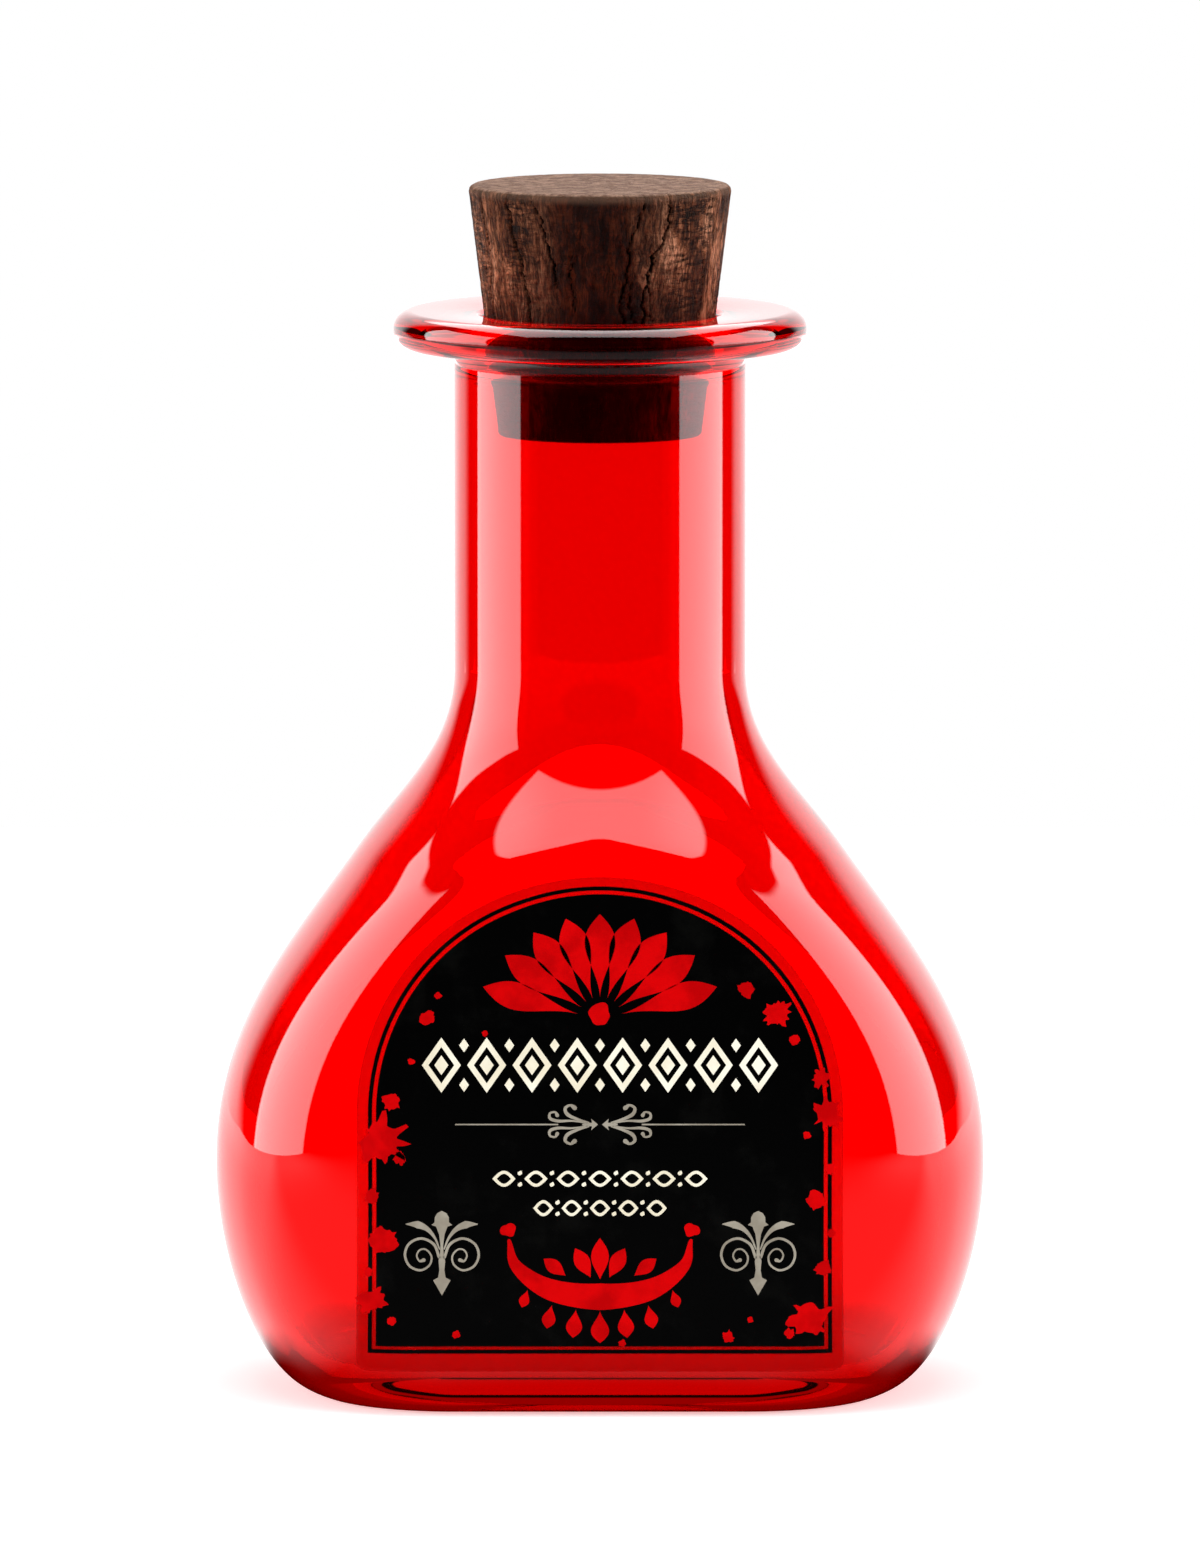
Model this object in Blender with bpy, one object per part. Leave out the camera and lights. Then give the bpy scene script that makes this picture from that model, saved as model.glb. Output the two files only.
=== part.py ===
"""Potion bottle: a red glass flask with two flat label panels, a wide flat lip, a tapered wooden stopper that
lifts out of the mouth, and an arched label on the front panel.

Metres, +Z up. The origin is the middle of the base, on the surface that the bottle stands on, and the label
faces -Y.
"""

import math

import bmesh
import bpy
import numpy as np
from mathutils import Vector
from mathutils.geometry import interpolate_bezier

# Body of the flask, seen from the front. The curve handles are shares of the stretch that they shape.
BODY_HEIGHT = 0.0788
SHOULDER_RADIUS = 0.0264
SHOULDER_HEIGHT = 0.0592
SHOULDER_LEAN = math.radians(35)
BELLY_RADIUS = 0.0419
BELLY_HEIGHT = 0.0248
FOOT_RADIUS = 0.0306
UPPER_HANDLE_SHARES = (0.44, 0.41)
LOWER_HANDLE_SHARES = (0.35, 0.44)
HEEL_DROP_SHARE = 0.47
HEEL_RUN_SHARE = 0.53

# Flat panels on the front and the back of the body
PANEL_HALF_DEPTH = 0.0245
PANEL_CORNER = 0.018
PANEL_EASE = 0.0028
PANEL_HEEL = 0.0048
LEAST_CORNER_SHARE = 0.2
SIDE_POINT_SHARE = 0.024

# Glass walls and the base
BODY_WALL = 0.0033
NECK_WALL = 0.0026
BASE_THICKNESS = 0.004
INNER_HEEL = 0.002
FOOT_RING_WIDTH = 0.0045
PUSH_UP_SLOPE_WIDTH = 0.0035
PUSH_UP_DEPTH = 0.0008

# Neck, lip and mouth
NECK_LENGTH = 0.039
MOUTH_RADIUS = 0.01295
MOUTH_WALL = 0.0029
MOUTH_EDGE = 0.0008
LIP_REACH = 0.00665
LIP_THICKNESS = 0.00405
LIP_DISH = 0.0003
LIP_FILLET = 0.0018
SEAT_LENGTH = 0.005
SEAT_RELIEF = 0.0025

# Stopper
STOPPER_PROUD = 0.0137
STOPPER_INSERTED = 0.0134
STOPPER_TAPER = math.radians(7.0)
STOPPER_TOP_BEVEL = 0.0008
STOPPER_END_BEVEL = 0.0006
STOPPER_GAP = 0.0003

# Label
LABEL_WIDTH = 0.0523
LABEL_HEIGHT = 0.0538
LABEL_CORNER = 0.0012
LABEL_THICKNESS = 0.0002
LABEL_GAP = 0.0003
LABEL_LIFT = 0.0003

# How finely round stretches are divided
QUARTER_POINTS = 16
SHOULDER_POINTS = 9
HEEL_POINTS = 10
ARC_POINTS = 5
LABEL_COLUMNS = 28
LABEL_ROWS = 22

# Sizes that follow from those above
GLASS_HEIGHT = BODY_HEIGHT + NECK_LENGTH
NECK_RADIUS = MOUTH_RADIUS + MOUTH_WALL
LIP_RADIUS = NECK_RADIUS + LIP_REACH
LABEL_BOTTOM = PANEL_HEEL + LABEL_LIFT


def make_material(name, colour, roughness, transmission=0.0):
    material = bpy.data.materials.new(name)
    material.use_nodes = True
    shader = material.node_tree.nodes["Principled BSDF"]
    shader.inputs["Base Color"].default_value = (*colour, 1.0)
    shader.inputs["Roughness"].default_value = roughness
    shader.inputs["Metallic"].default_value = 0.0
    shader.inputs["Transmission Weight"].default_value = transmission
    material.diffuse_color = (*colour, 1.0)
    return material


def add_object(name, mesh_builder, material, sharp_angle):
    mesh = bpy.data.meshes.new(name)
    mesh_builder.to_mesh(mesh)
    mesh_builder.free()
    mesh.shade_smooth()
    mesh.set_sharp_from_angle(angle=sharp_angle)
    mesh.materials.append(material)
    made = bpy.data.objects.new(name, mesh)
    bpy.context.scene.collection.objects.link(made)
    return made


# Plan sections: a circle whose front and back are cut flat, with rounded corners and slightly pointed sides


def corner_of(radius, half_depth):
    """(centre x, centre y, radius) of a section's rounded corner, which is smaller where the panel lies deeper."""
    centre_y = min(max(PANEL_HALF_DEPTH - PANEL_CORNER, 0), (1 - LEAST_CORNER_SHARE) * half_depth)
    corner = half_depth - centre_y
    to_centre = radius - SIDE_POINT_SHARE * max(radius - half_depth, 0) - corner
    return math.sqrt(max(to_centre**2 - centre_y**2, 0)), centre_y, corner


def side_centre(radius, corner):
    """Where on the X axis the side's arc is centred, so that it runs into the corner without a kink."""
    centre_x, centre_y, corner_radius = corner
    outward = radius - corner_radius
    return (outward**2 - centre_x**2 - centre_y**2) / (2 * (outward - centre_x))


def quarter_point(radius, half_depth, turn):
    """A point of a section's quarter, from turn 0 in the middle of the panel to a quarter turn at the side."""
    if radius <= half_depth:
        return radius * math.sin(turn), radius * math.cos(turn)
    centre_x, centre_y, corner = corner_of(radius, half_depth)
    side_x = side_centre(radius, (centre_x, centre_y, corner))
    corner_start = math.atan2(centre_x, half_depth) / 2
    corner_end = math.atan2(centre_x - side_x, centre_y)
    if turn < corner_start:
        return half_depth * math.tan(2 * turn), half_depth
    if turn < corner_end:
        bend = corner_end * (turn - corner_start) / (corner_end - corner_start)
        return centre_x + corner * math.sin(bend), centre_y + corner * math.cos(bend)
    return side_x + (radius - side_x) * math.sin(turn), (radius - side_x) * math.cos(turn)


def section_points(radius, half_depth, height):
    """A whole section, from the middle of the front panel towards +X and round."""
    steps = [math.pi / 2 * i / QUARTER_POINTS for i in range(QUARTER_POINTS + 1)]
    right = [quarter_point(radius, half_depth, turn) for turn in steps]
    right += [(x, -y) for x, y in right[-2::-1]]
    left = [(-x, y) for x, y in right[-2:0:-1]]
    return [Vector((x, -y, height)) for x, y in right + left]


def loft(sections):
    """A closed body through (radius, half depth, height) sections. The first and the last close to a point."""
    builder = bmesh.new()
    rings = [[builder.verts.new(p) for p in section_points(*section)] for section in sections]
    for below, above in zip(rings, rings[1:]):
        for i in range(len(below)):
            builder.faces.new((below[i - 1], below[i], above[i], above[i - 1]))
    for ring, section in ((rings[0], sections[0]), (rings[-1], sections[-1])):
        middle = builder.verts.new((0, 0, section[2]))
        for i in range(len(ring)):
            builder.faces.new((ring[i - 1], ring[i], middle))
    bmesh.ops.recalc_face_normals(builder, faces=builder.faces)
    return builder


# Side profile of the flask, as (radius, height) points


def curve(start, start_handle, end_handle, end, count):
    return [(p.x, p.y) for p in interpolate_bezier(start, start_handle, end_handle, end, count + 1)]


def arc(centre, radius, start_angle, end_angle, count=ARC_POINTS):
    """Points from start to end, with angles measured from the outward radius towards +Z."""
    angles = [start_angle + (end_angle - start_angle) * i / count for i in range(count + 1)]
    return [(centre[0] + radius * math.cos(a), centre[1] + radius * math.sin(a)) for a in angles]


def body_profile(neck_radius, wall, foot_height):
    """The profile from the bottom of the neck, over shoulder and belly, to the foot or the inner floor."""
    upper_length = BODY_HEIGHT - SHOULDER_HEIGHT
    lower_length = SHOULDER_HEIGHT - BELLY_HEIGHT
    drop = BELLY_HEIGHT - foot_height
    neck = Vector((neck_radius, BODY_HEIGHT))
    shoulder = Vector((SHOULDER_RADIUS - wall, SHOULDER_HEIGHT))
    belly = Vector((BELLY_RADIUS - wall, BELLY_HEIGHT))
    foot = Vector((FOOT_RADIUS, foot_height))
    down_shoulder = Vector((math.sin(SHOULDER_LEAN), -math.cos(SHOULDER_LEAN)))
    down = Vector((0, -1))
    upper = curve(
        neck,
        neck + down * UPPER_HANDLE_SHARES[0] * upper_length,
        shoulder - down_shoulder * UPPER_HANDLE_SHARES[1] * upper_length,
        shoulder,
        SHOULDER_POINTS,
    )
    lower = curve(
        shoulder,
        shoulder + down_shoulder * LOWER_HANDLE_SHARES[0] * lower_length,
        belly - down * LOWER_HANDLE_SHARES[1] * lower_length,
        belly,
        SHOULDER_POINTS,
    )
    heel = curve(
        belly,
        belly + down * HEEL_DROP_SHARE * drop,
        foot + Vector((belly.x - foot.x, 0)) * HEEL_RUN_SHARE,
        foot,
        HEEL_POINTS,
    )
    return upper + lower[1:] + heel[1:]


def eased_least(first, second, ease):
    """The smaller of two lengths, rounded off where they are within ease of each other."""
    overlap = max(ease - abs(first - second), 0) / ease
    return min(first, second) - overlap**2 * ease / 4


def body_sections(neck_radius, wall, floor, heel):
    """Sections whose depth is the panels', eased into the shoulder and turned under at the heel."""
    sections = []
    for radius, height in body_profile(neck_radius, wall, floor):
        below_panel = min(max(floor + heel - height, 0), heel)
        turned_under = heel - math.sqrt(heel**2 - below_panel**2)
        half_depth = PANEL_HALF_DEPTH - wall - turned_under
        sections.append((radius, eased_least(radius, half_depth, PANEL_EASE), height))
    return sections


def round_sections(profile):
    return [(radius, radius, height) for radius, height in profile]


# Glass bottle


def seat_radius(above_mouth):
    """The mouth is ground to the stopper's taper."""
    return MOUTH_RADIUS + math.tan(STOPPER_TAPER) * above_mouth


def outer_body_sections():
    """From the foot up to the bottom of the neck."""
    return body_sections(NECK_RADIUS, 0, 0, PANEL_HEEL)[::-1]


def underside_sections(foot_section):
    """From the middle of the push-up to the inner edge of the foot ring."""
    radius, half_depth, _ = foot_section
    inside_ring = FOOT_RING_WIDTH + PUSH_UP_SLOPE_WIDTH
    return [
        (radius - inside_ring, half_depth - inside_ring, PUSH_UP_DEPTH),
        (radius - FOOT_RING_WIDTH, half_depth - FOOT_RING_WIDTH, 0),
    ]


def lip_profile():
    """From the neck, out under the lip, round its edge and back over the top to the mouth."""
    half = LIP_THICKNESS / 2
    under = GLASS_HEIGHT - LIP_THICKNESS
    fillet_centre = (NECK_RADIUS + LIP_FILLET, under - LIP_FILLET)
    edge_centre = (LIP_RADIUS - half, GLASS_HEIGHT - half)
    mouth_edge_depth = LIP_DISH + MOUTH_EDGE
    mouth_centre = (seat_radius(-mouth_edge_depth) + MOUTH_EDGE, GLASS_HEIGHT - mouth_edge_depth)
    quarter = math.pi / 2
    return (
        arc(fillet_centre, LIP_FILLET, math.pi, quarter)
        + arc(edge_centre, half, -quarter, quarter, 2 * ARC_POINTS)
        + arc(mouth_centre, MOUTH_EDGE, quarter, math.pi)
    )


def bore_profile():
    """Down from the mouth through the tapered seat to the neck's wider bore."""
    seat_bottom = GLASS_HEIGHT - SEAT_LENGTH
    return [
        (seat_radius(-SEAT_LENGTH), seat_bottom),
        (NECK_RADIUS - NECK_WALL, seat_bottom - SEAT_RELIEF),
    ]


def make_bottle(material):
    outer_body = outer_body_sections()
    sections = (
        underside_sections(outer_body[0])
        + outer_body
        + round_sections(lip_profile() + bore_profile())
        + body_sections(NECK_RADIUS - NECK_WALL, BODY_WALL, BASE_THICKNESS, INNER_HEEL)
    )
    return add_object("bottle", loft(sections), material, math.radians(35))


# Stopper: a tapered plug, whose origin is on its axis at the top of the glass


def stopper_radius(above_mouth):
    return seat_radius(above_mouth) - STOPPER_GAP


def make_stopper(material):
    top, end = STOPPER_PROUD, -STOPPER_INSERTED
    profile = [
        (stopper_radius(end) - STOPPER_END_BEVEL, end),
        (stopper_radius(end + STOPPER_END_BEVEL), end + STOPPER_END_BEVEL),
        (stopper_radius(top - STOPPER_TOP_BEVEL), top - STOPPER_TOP_BEVEL),
        (stopper_radius(top) - STOPPER_TOP_BEVEL, top),
    ]
    stopper = add_object("stopper", loft(round_sections(profile)), material, math.radians(35))
    stopper.location.z = GLASS_HEIGHT
    return stopper


# Label: an arched sheet that follows the front of the glass


def front_depth(glass, x, z):
    """How far in front of the axis the glass, given as its sections, lies at a place seen from the front."""
    heights = [section[2] for section in glass]
    radius = float(np.interp(z, heights, [section[0] for section in glass]))
    half_depth = float(np.interp(z, heights, [section[1] for section in glass]))
    if radius <= half_depth:
        return math.sqrt(max(radius**2 - x**2, 0))
    centre_x, centre_y, corner = corner_of(radius, half_depth)
    side_x = side_centre(radius, (centre_x, centre_y, corner))
    past = abs(x) - centre_x
    if past <= 0:
        return half_depth
    if past * centre_y > (centre_x - side_x) * math.sqrt(max(corner**2 - past**2, 0)):
        return math.sqrt(max((radius - side_x) ** 2 - (abs(x) - side_x) ** 2, 0))
    return centre_y + math.sqrt(corner**2 - past**2)


def off_the_glass(glass, x, z, distance):
    """A point that far in front of the glass, measured square to its surface."""
    step = LABEL_THICKNESS
    slope_x = (front_depth(glass, x + step, z) - front_depth(glass, x - step, z)) / (2 * step)
    slope_z = (front_depth(glass, x, z + step) - front_depth(glass, x, z - step)) / (2 * step)
    outward = Vector((-slope_x, -1, -slope_z)).normalized()
    return Vector((x, -front_depth(glass, x, z), z)) + distance * outward


def label_column(x):
    """The heights of one upright line of the label, from its bottom edge to its arch."""
    half = LABEL_WIDTH / 2
    spring = LABEL_BOTTOM + LABEL_HEIGHT - half
    top = spring + math.sqrt(max(half**2 - x**2, 0))
    into_corner = max(abs(x) - (half - LABEL_CORNER), 0)
    bottom = LABEL_BOTTOM + LABEL_CORNER - math.sqrt(LABEL_CORNER**2 - into_corner**2)
    return [bottom + (top - bottom) * j / LABEL_ROWS for j in range(LABEL_ROWS + 1)]


def make_label(material):
    glass = outer_body_sections()
    builder = bmesh.new()
    back, front = [], []
    for i in range(LABEL_COLUMNS + 1):
        x = -math.cos(math.pi * i / LABEL_COLUMNS) * LABEL_WIDTH / 2
        for sheet_face, distance in ((back, LABEL_GAP), (front, LABEL_GAP + LABEL_THICKNESS)):
            sheet_face.append([builder.verts.new(off_the_glass(glass, x, z, distance)) for z in label_column(x)])
    for grid in (back, front):
        for left, right in zip(grid, grid[1:]):
            for j in range(LABEL_ROWS):
                builder.faces.new((left[j], right[j], right[j + 1], left[j + 1]))
    for end in (0, -1):
        for j in range(LABEL_ROWS):
            builder.faces.new((back[end][j], front[end][j], front[end][j + 1], back[end][j + 1]))
        for i in range(LABEL_COLUMNS):
            builder.faces.new((back[i][end], front[i][end], front[i + 1][end], back[i + 1][end]))
    bmesh.ops.recalc_face_normals(builder, faces=builder.faces)
    return add_object("front_label", builder, material, math.radians(50))


def main():
    for leftover in list(bpy.data.objects):
        bpy.data.objects.remove(leftover)
    make_bottle(make_material("red_glass", (0.75, 0.0, 0.005), 0.02, transmission=1.0))
    make_stopper(make_material("dark_wood", (0.09, 0.035, 0.02), 0.7))
    make_label(make_material("black_label", (0.006, 0.005, 0.005), 0.35))


main()
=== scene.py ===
import math

import bmesh
import bpy
import numpy as np
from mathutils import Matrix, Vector, noise
from mathutils.geometry import interpolate_bezier


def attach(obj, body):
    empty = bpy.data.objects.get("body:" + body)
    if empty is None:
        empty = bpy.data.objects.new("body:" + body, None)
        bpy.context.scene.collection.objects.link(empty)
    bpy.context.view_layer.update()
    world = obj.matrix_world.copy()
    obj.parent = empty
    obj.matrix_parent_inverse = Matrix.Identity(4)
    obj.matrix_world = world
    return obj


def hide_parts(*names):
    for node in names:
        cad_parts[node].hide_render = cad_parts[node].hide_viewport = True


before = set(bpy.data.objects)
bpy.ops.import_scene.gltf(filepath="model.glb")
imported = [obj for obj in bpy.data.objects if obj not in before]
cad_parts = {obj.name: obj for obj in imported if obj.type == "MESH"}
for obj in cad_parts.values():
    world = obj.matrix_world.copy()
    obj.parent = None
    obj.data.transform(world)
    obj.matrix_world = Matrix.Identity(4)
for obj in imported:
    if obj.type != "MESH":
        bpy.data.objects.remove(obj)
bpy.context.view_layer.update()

# Glass bottle. One piece of clear red glass, blown into a mould that flattens the front and the back of its
# body into two panels. The neck is drawn out of the shoulder, and its wide lip is laid on and fire-rounded.

BODY_HEIGHT = 0.0788
SHOULDER = (0.0264, 0.0592)
SHOULDER_LEAN = math.radians(35)
BELLY = (0.0419, 0.0248)
FOOT_RADIUS = 0.0306
# How far the ends of the outline's curves pull them along: shares of their height, or of the width at the foot
NECK_PULL = 0.44
SHOULDER_PULLS = (0.41, 0.35)
BELLY_PULLS = (0.44, 0.47)
FOOT_PULL = 0.53
# The panels, with the rounding of their corners, the easing of their rim and the rounding in at the heel
PANEL_HALF_DEPTH = 0.0245
PANEL_CORNER = 0.018
PANEL_EASE = 0.0012
PANEL_HEEL = 0.0048
SIDE_POINT = 0.024
BODY_WALL = 0.0033
NECK_WALL = 0.0026
BASE_THICKNESS = 0.004
INNER_HEEL = 0.002
# The hollow underneath, from its middle out to the standing ring: (inwards from the foot's edge, height)
PUSH_UP = (
    (0.03, 0.0008), (0.02, 0.0008), (0.0088, 0.00078), (0.0078, 0.00068),
    (0.0052, 0.0001), (0.0042, 0), (0.0012, 0),
)  # fmt: skip
NECK_RADIUS = 0.01585
GLASS_HEIGHT = 0.1178
LIP_RADIUS = 0.0225
LIP_THICKNESS = 0.00405
LIP_FILLET = 0.0018
# The mouth, its rounded edge, and how far down the ground seat ends and the bore begins
MOUTH_RADIUS = 0.01295
MOUTH_EDGE = 0.0008
MOUTH_EDGE_DEPTH = 0.0011
SEAT_DEPTH = 0.005
BORE_DEPTH = 0.0075
BORE_PULL = 0.001
STOPPER_TAPER = math.radians(7)
GLASS_AROUND = 56
GLASS_STEPS = 44


def corner_of(radius, half_depth):
    """Centre and radius of the corner between a panel and the side, and the centre of the side's own arc."""
    centre_y = np.minimum(PANEL_HALF_DEPTH - PANEL_CORNER, 0.8 * half_depth)
    corner = half_depth - centre_y
    outward = radius - corner
    to_centre = outward - SIDE_POINT * np.maximum(radius - half_depth, 0)
    centre_x = np.sqrt(np.maximum(to_centre**2 - centre_y**2, 0))
    side_x = (outward**2 - centre_x**2 - centre_y**2) / (2 * (outward - centre_x))
    return centre_x, centre_y, corner, side_x


def quarter_point(radius, half_depth, turn):
    """A point of the body's plan between the middle of a panel, at no turn, and the middle of a side."""
    if radius <= half_depth:
        return radius * math.sin(turn), radius * math.cos(turn)
    centre_x, centre_y, corner, side_x = corner_of(radius, half_depth)
    corner_start = math.atan2(centre_x, half_depth) / 2
    corner_end = math.atan2(centre_x - side_x, centre_y)
    if turn < corner_start:
        return half_depth * math.tan(2 * turn), half_depth
    if turn < corner_end:
        bend = corner_end * (turn - corner_start) / (corner_end - corner_start)
        return centre_x + corner * math.sin(bend), centre_y + corner * math.cos(bend)
    return side_x + (radius - side_x) * math.sin(turn), (radius - side_x) * math.cos(turn)


def glass_ring(radius, half_depth, height):
    turns = [math.pi / 2 * i / GLASS_AROUND for i in range(GLASS_AROUND + 1)]
    quarter = [quarter_point(radius, half_depth, turn) for turn in turns]
    right = quarter + [(x, -y) for x, y in quarter[-2::-1]]
    left = [(-x, y) for x, y in right[-2:0:-1]]
    return [(x, -y, height) for x, y in right + left]


def drawn_curve(start, start_pull, end_pull, end, steps):
    return [(p.x, p.y) for p in interpolate_bezier(start, start_pull, end_pull, end, steps + 1)]


def round_arc(centre, radius, first, last, steps=14):
    turns = [first + (last - first) * i / steps for i in range(steps + 1)]
    return [(centre[0] + radius * math.cos(t), centre[1] + radius * math.sin(t)) for t in turns]


def body_outline(neck_radius, wall, foot_height):
    """Down from the neck over the shoulder and the belly to the foot, or to the floor inside."""
    neck = Vector((neck_radius, BODY_HEIGHT))
    shoulder = Vector((SHOULDER[0] - wall, SHOULDER[1]))
    belly = Vector((BELLY[0] - wall, BELLY[1]))
    foot = Vector((FOOT_RADIUS, foot_height))
    lean = Vector((math.sin(SHOULDER_LEAN), -math.cos(SHOULDER_LEAN)))
    down = Vector((0, -1))
    upper, lower, drop = BODY_HEIGHT - SHOULDER[1], SHOULDER[1] - BELLY[1], BELLY[1] - foot_height
    from_neck = neck + down * NECK_PULL * upper
    onto_shoulder = shoulder - lean * SHOULDER_PULLS[0] * upper
    from_shoulder = shoulder + lean * SHOULDER_PULLS[1] * lower
    onto_belly = belly - down * BELLY_PULLS[0] * lower
    from_belly = belly + down * BELLY_PULLS[1] * drop
    onto_foot = foot + Vector((belly.x - foot.x, 0)) * FOOT_PULL
    over = drawn_curve(neck, from_neck, onto_shoulder, shoulder, GLASS_STEPS)
    side = drawn_curve(shoulder, from_shoulder, onto_belly, belly, GLASS_STEPS)
    heel = drawn_curve(belly, from_belly, onto_foot, foot, GLASS_STEPS)
    return over + side[1:] + heel[1:]


def body_rings(neck_radius, wall, floor_height, heel):
    """The outline as (radius, half depth, height), its panels rounded in at the heel and eased at the rim."""
    rings = []
    for radius, height in body_outline(neck_radius, wall, floor_height):
        below = min(max(floor_height + heel - height, 0), heel)
        half_depth = PANEL_HALF_DEPTH - wall - heel + math.sqrt(heel**2 - below**2)
        near = max(PANEL_EASE - abs(radius - half_depth), 0) / PANEL_EASE
        rings.append((radius, min(radius, half_depth) - near**2 * PANEL_EASE / 4, height))
    return rings


def mouth_radius(above_mouth):
    return MOUTH_RADIUS + math.tan(STOPPER_TAPER) * above_mouth


def straight(radius, start, end):
    """Rings along a straight neck, close together at its ends so that the curves there don't shade it."""
    shares = (0.003, 0.01, 0.03, 0.1, 0.25, 0.5, 0.75, 0.9, 0.97, 0.99, 0.997)
    return [(radius, start + (end - start) * share) for share in shares]


def lip_and_mouth():
    """Round rings up the neck, round the lip and down into the ground seat and the bore."""
    half = LIP_THICKNESS / 2
    quarter = math.pi / 2
    under_lip = GLASS_HEIGHT - LIP_THICKNESS - LIP_FILLET
    neck = straight(NECK_RADIUS, BODY_HEIGHT, under_lip)
    fillet = round_arc((NECK_RADIUS + LIP_FILLET, under_lip), LIP_FILLET, math.pi, quarter)
    edge = round_arc((LIP_RADIUS - half, GLASS_HEIGHT - half), half, -quarter, quarter, 28)
    mouth_middle = (mouth_radius(-MOUTH_EDGE_DEPTH) + MOUTH_EDGE, GLASS_HEIGHT - MOUTH_EDGE_DEPTH)
    mouth = round_arc(mouth_middle, MOUTH_EDGE, quarter, math.pi, 8)
    seat = (mouth_radius(-SEAT_DEPTH), GLASS_HEIGHT - SEAT_DEPTH)
    bore_top = (NECK_RADIUS - NECK_WALL, GLASS_HEIGHT - BORE_DEPTH)
    below_seat = (seat[0], seat[1] - BORE_PULL)
    above_bore = (bore_top[0], bore_top[1] + BORE_PULL)
    bore = drawn_curve(*map(Vector, (seat, below_seat, above_bore, bore_top)), 8)
    inside = straight(*bore_top, BODY_HEIGHT)
    outline = neck + fillet + edge + mouth + bore + inside
    return [(radius, radius, height) for radius, height in outline]


def foot_and_push_up(foot):
    """From the middle of the hollow underneath out to the flat ring that the bottle stands on."""
    rings = []
    for inwards, height in PUSH_UP:
        inwards = min(inwards, foot[1] - 0.0005)
        rings.append((foot[0] - inwards, foot[1] - inwards, height))
    return rings


def skin(builder, rings):
    """Faces from each ring up to the next, and a fan that closes the stack at either end."""
    for below, above in zip(rings, rings[1:]):
        for i in range(len(below)):
            builder.faces.new((below[i - 1], below[i], above[i], above[i - 1]))
    for ring in (rings[0], rings[-1]):
        middle = builder.verts.new((0, 0, ring[0].co.z))
        for i in range(len(ring)):
            builder.faces.new((ring[i - 1], ring[i], middle))
    bmesh.ops.recalc_face_normals(builder, faces=builder.faces)


def glass_body():
    outer = body_rings(NECK_RADIUS, 0, 0, PANEL_HEEL)[::-1]
    inner = body_rings(NECK_RADIUS - NECK_WALL, BODY_WALL, BASE_THICKNESS, INNER_HEEL)
    floor_ring = inner[-1]
    for share in (0.8, 0.5, 0.2):
        inner.append((floor_ring[0] * share, floor_ring[1] * share, floor_ring[2]))
    stack = foot_and_push_up(outer[0]) + outer + lip_and_mouth() + inner
    builder = bmesh.new()
    rings = [[builder.verts.new(p) for p in glass_ring(*ring)] for ring in stack]
    skin(builder, rings)
    return builder


def finished(name, builder, material):
    """The object of a built mesh, smoothly shaded and in its material."""
    mesh = bpy.data.meshes.new(name)
    builder.to_mesh(mesh)
    builder.free()
    mesh.shade_smooth()
    mesh.materials.append(material)
    made = bpy.data.objects.new(name, mesh)
    bpy.context.scene.collection.objects.link(made)
    return made


class Wire:
    """An output of a shader node. Sums of wires add Math nodes, and node() adds any other node of its tree."""

    def __init__(self, tree, socket=None):
        self.tree, self.socket = tree, socket

    def node(self, kind, settings=None, sockets=None):
        made = self.tree.nodes.new(kind)
        for name, value in (settings or {}).items():
            if name == "stops":
                ramp = made.color_ramp.elements
                while len(ramp) < len(value):
                    ramp.new(1)
                for element, (place, colour) in zip(ramp, value):
                    element.position, element.color = place, (*colour, 1)
            else:
                setattr(made, name, value)
        for name, value in (sockets or {}).items():
            if isinstance(value, Wire):
                self.tree.links.new(value.socket, made.inputs[name])
            else:
                made.inputs[name].default_value = value
        return Wire(self.tree, made.outputs[0] if made.outputs else None)

    def out(self, name):
        return Wire(self.tree, self.socket.node.outputs[name])

    def sum(self, operation, first, second):
        return self.node("ShaderNodeMath", {"operation": operation}, {0: first, 1: second})

    def __add__(self, other):
        return self.sum("ADD", self, other)

    def __sub__(self, other):
        return self.sum("SUBTRACT", self, other)

    def __rsub__(self, other):
        return self.sum("SUBTRACT", other, self)

    def __mul__(self, other):
        return self.sum("MULTIPLY", self, other)

    def __truediv__(self, other):
        return self.sum("DIVIDE", self, other)

    def __pow__(self, other):
        return self.sum("POWER", self, other)

    def __abs__(self):
        return self.sum("ABSOLUTE", self, 0)

    __radd__ = __add__
    __rmul__ = __mul__

    def rising(self, low, high):
        """0 up to low, 1 from high on, and a smooth rise between them."""
        return self.node(
            "ShaderNodeMapRange",
            {"interpolation_type": "SMOOTHSTEP"},
            {"Value": self, "From Min": low, "From Max": high},
        )

    def mix(self, kind, share, first, second):
        """The colour that a Mix node of that kind makes of two others."""
        settings = {"data_type": "RGBA", "blend_type": kind}
        mixed = self.node("ShaderNodeMix", settings, {"Factor": share, 6: first, 7: second})
        return Wire(self.tree, mixed.socket.node.outputs[2])

    def blend(self, first, second):
        """A colour that goes from first to second as this value goes from 0 to 1."""
        return self.mix("MIX", self, first, second)


def new_finish(name):
    material = bpy.data.materials.new(name)
    material.use_nodes = True
    material.node_tree.nodes.clear()
    return material, Wire(material.node_tree)


# Light that has been thrown about inside the wall more often than this leaves it as a dark red glow
DEEP = 2.5


def thrown_about(ray):
    return ray.sum("GREATER_THAN", ray.out("Glossy Depth"), DEEP)


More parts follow.
